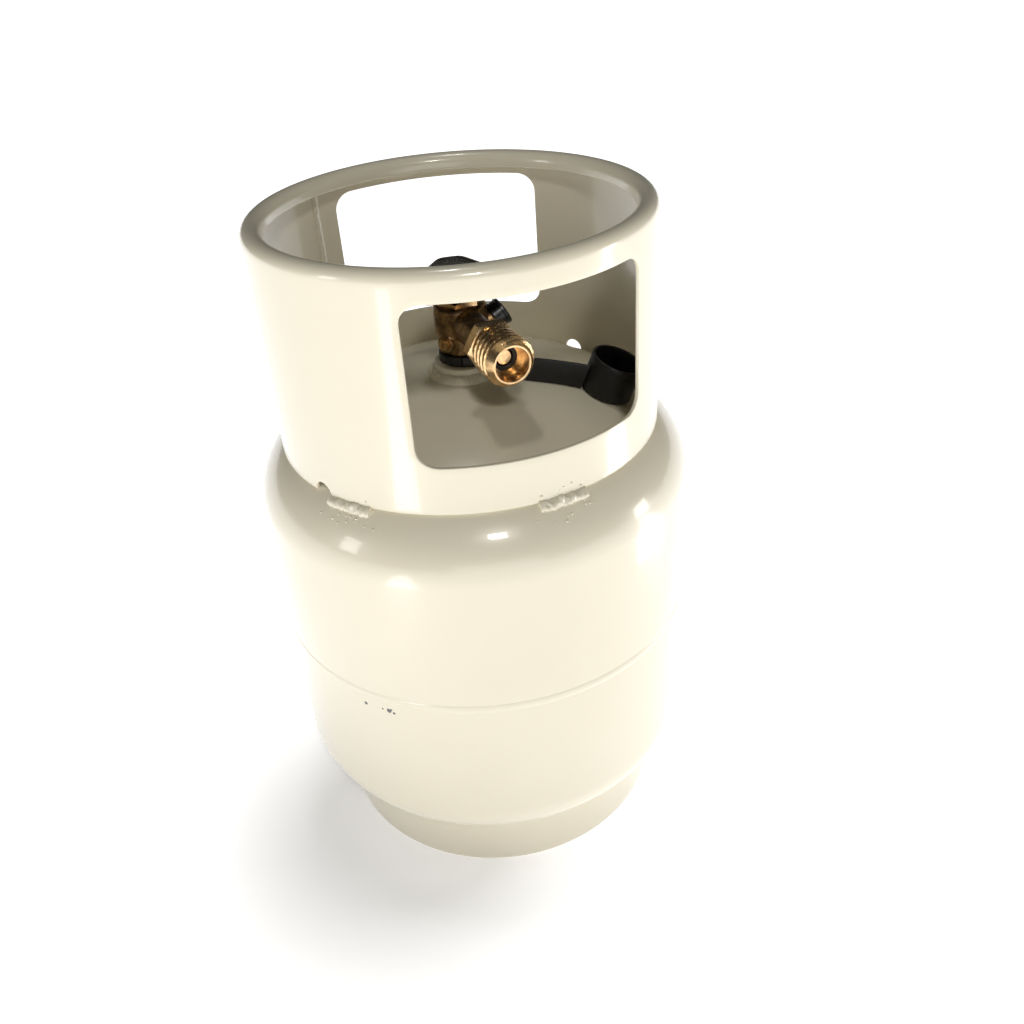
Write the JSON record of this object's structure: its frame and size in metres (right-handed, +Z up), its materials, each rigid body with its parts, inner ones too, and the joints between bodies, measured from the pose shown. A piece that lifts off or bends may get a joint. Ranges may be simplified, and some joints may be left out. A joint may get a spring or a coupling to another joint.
{
  "type": "propane tank",
  "caption": "Cream steel gas cylinder with a windowed guard collar, foot ring, brass shut-off valve with side outlet, three-cornered handwheel and tethered dust cap.",
  "frame": {"origin": "centre of the foot ring's underside, on the surface the cylinder stands on", "axes": "+Z up along the cylinder's axis, -Y along the valve's outlet, through the front window; +X towards the relief valve"},
  "size_m": [0.3118, 0.3118, 0.4845],
  "materials": {
    "cream_paint": "gloss cream enamel",
    "brass": "machined and forged brass, a little tarnished",
    "black_plastic": "black moulded plastic",
    "black_rubber": "black rubber",
    "plated_steel": "zinc plated",
    "grey_plastic": "moulded acetal"
  },
  "bodies": {
    "cylinder": {"lower_shell": "cream_paint", "upper_shell": "cream_paint", "girth_weld": "cream_paint", "foot_ring": "cream_paint", "foot_ring_weld": "cream_paint", "collar": "cream_paint", "collar_welds": "cream_paint", "collar_seam_weld": "cream_paint", "valve_spud": "cream_paint", "spud_weld": "cream_paint", "valve_body": "brass", "valve_bonnet": "brass", "stem_packing": "black_rubber", "outlet_connector": "brass", "outlet_seal": "black_rubber", "outlet_retainer": "brass", "outlet_check_spring": "plated_steel", "relief_housing": "brass", "relief_retainer": "brass", "relief_spring": "plated_steel", "relief_cover": "black_plastic", "stop_fill_housing": "grey_plastic", "float_pivot_pin": "plated_steel", "level_gauge_tube": "grey_plastic"},
    "stem": {"valve_stem": "brass", "handwheel": "black_plastic", "handwheel_washer": "plated_steel", "handwheel_screw": "plated_steel"},
    "seat": {"seat_piston": "brass", "seat_disc": "black_rubber"},
    "outlet_check": {"outlet_check_poppet": "brass"},
    "relief": {"relief_poppet": "brass"},
    "vent": {"vent_screw": "brass"},
    "float_lever": {"float_arm": "grey_plastic", "float": "grey_plastic"},
    "fill_stop": {"stop_fill_piston": "grey_plastic"},
    "tether": {"dust_cap": "black_rubber", "cap_strap": "black_rubber"}
  },
  "joints": [
    {"name": "handwheel_turn", "type": "hinge", "parent": "cylinder", "child": "stem", "pos_m": [0, 0, 0.42], "axis": [0, 0, 1], "range_deg": [0, 540]},
    {"name": "seat_lift", "type": "slide", "parent": "cylinder", "child": "seat", "axis": [0, 0, 1], "range_m": [0, 0.0031]},
    {"name": "outlet_check_slide", "type": "slide", "parent": "cylinder", "child": "outlet_check", "axis": [0, 1, 0], "range_m": [0, 0.005], "stiffness_N_per_m": 300, "springref_m": -0.003, "deforming": ["outlet_check_spring"]},
    {"name": "relief_lift", "type": "slide", "parent": "cylinder", "child": "relief", "axis": [0.8829, 0, 0.4695], "range_m": [0, 0.003], "stiffness_N_per_m": 500, "springref_m": -0.002, "deforming": ["relief_spring"]},
    {"name": "vent_turn", "type": "hinge", "parent": "cylinder", "child": "vent", "pos_m": [0, 0, 0.3925], "axis": [-0.848, -0.5299, 0], "range_deg": [0, 360]},
    {"name": "float_swing", "type": "hinge", "parent": "cylinder", "child": "float_lever", "pos_m": [0, 0, 0.3225], "axis": [1, 0, 0], "range_deg": [0, 75]},
    {"name": "fill_stop_lift", "type": "slide", "parent": "cylinder", "child": "fill_stop", "axis": [0, 0, 1], "range_m": [0, 0.0019]},
    {"name": "cap_swivel", "type": "hinge", "parent": "cylinder", "child": "tether", "pos_m": [0, 0, 0.379], "axis": [0, 0, 1], "continuous": true}
  ],
  "couplings": [
    {"joint": "seat_lift", "follows": "handwheel_turn", "m_per_rad": 0.00031831},
    {"joint": "fill_stop_lift", "follows": "float_swing", "m_per_rad": 0.001375}
  ]
}
